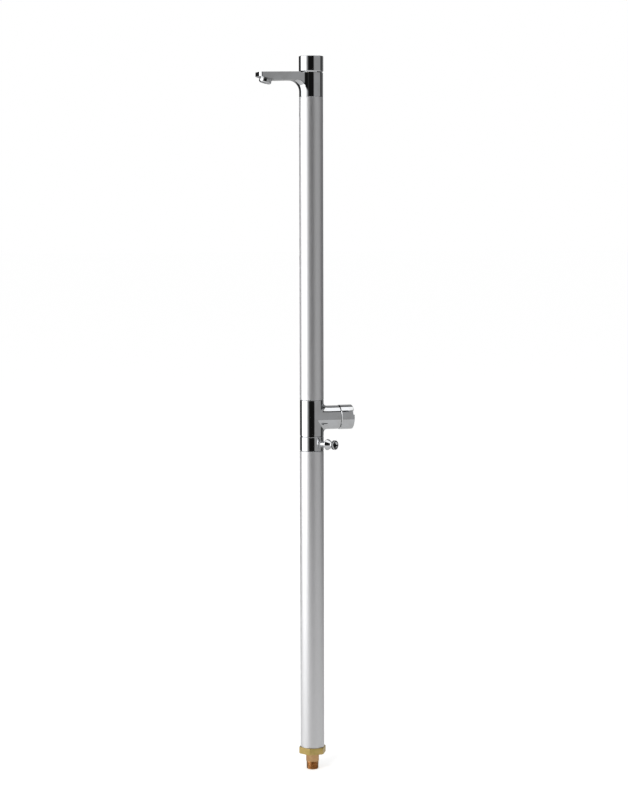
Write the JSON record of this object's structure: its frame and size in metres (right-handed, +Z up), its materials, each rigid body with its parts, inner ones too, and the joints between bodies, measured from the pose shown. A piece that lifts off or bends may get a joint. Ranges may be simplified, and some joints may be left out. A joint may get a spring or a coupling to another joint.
{
  "type": "garden standpipe",
  "caption": "Slim round garden water column with a flat spout and knob on top, a side tap and a swivelling hose nipple half way up, and a threaded inlet below.",
  "frame": {"origin": "centre of the inlet thread's lower end, on the column's axis", "axes": "+Z up the column, -X along the spout, +X along the side tap"},
  "size_m": [0.1624, 0.0664, 1.2],
  "materials": {
    "chrome": "polished chrome plate",
    "column": "satin anodised",
    "hexagon": "turned and milled, dull",
    "spigot": "gunmetal, cast and turned",
    "inner_brass": "turned",
    "pipe": "drawn copper",
    "seals": "moulded",
    "plastic": "moulded",
    "ceramic": "lapped ceramic",
    "steel": "stainless"
  },
  "bodies": {
    "column": {"inlet_spigot": "spigot", "base_hexagon": "hexagon", "base_o_ring": "seals", "spigot_locknut": "inner_brass", "lower_tube": "column", "lower_riser": "pipe", "lower_riser_seals": "seals", "lower_spacers": "plastic", "manifold_core": "inner_brass", "swivel_seals": "seals", "tee_seals": "seals", "thrust_washers": "plastic", "tee_body": "chrome", "upper_coupling": "inner_brass", "upper_tube": "column", "upper_riser": "pipe", "upper_riser_seals": "seals", "upper_spacers": "plastic", "head_socket": "inner_brass", "head_socket_o_ring": "seals", "head_body": "chrome", "aerator_housing": "chrome", "aerator_core": "plastic", "aerator_screen": "steel", "aerator_gasket": "seals", "head_seat_seal": "seals", "head_fixed_disc": "ceramic", "head_headwork": "inner_brass", "side_seat_seal": "seals", "side_fixed_disc": "ceramic", "side_headwork": "inner_brass"},
    "swivel": {"swivel_ring": "chrome", "hose_nipple": "chrome", "nipple_gasket": "seals", "nipple_o_ring": "seals"},
    "head_tap": {"head_moving_disc": "ceramic", "head_spindle": "inner_brass", "head_spindle_o_rings": "seals", "head_knob_insert": "plastic", "head_knob": "chrome", "head_grub_screw": "steel"},
    "side_tap": {"side_moving_disc": "ceramic", "side_spindle": "inner_brass", "side_spindle_o_rings": "seals", "side_knob_insert": "plastic", "side_knob": "chrome", "side_grub_screw": "steel"}
  },
  "joints": [
    {"name": "head_knob_turn", "type": "hinge", "parent": "column", "child": "head_tap", "pos_m": [0, 0, 1.1723], "axis": [0, 0, 1], "range_deg": [0, 90]},
    {"name": "side_knob_turn", "type": "hinge", "parent": "column", "child": "side_tap", "pos_m": [0.0465, 0, 0.5961], "axis": [1, 0, 0], "range_deg": [0, 90]},
    {"name": "outlet_swivel", "type": "hinge", "parent": "column", "child": "swivel", "pos_m": [0, 0, 0.55295], "axis": [0, 0, 1], "continuous": true}
  ]
}
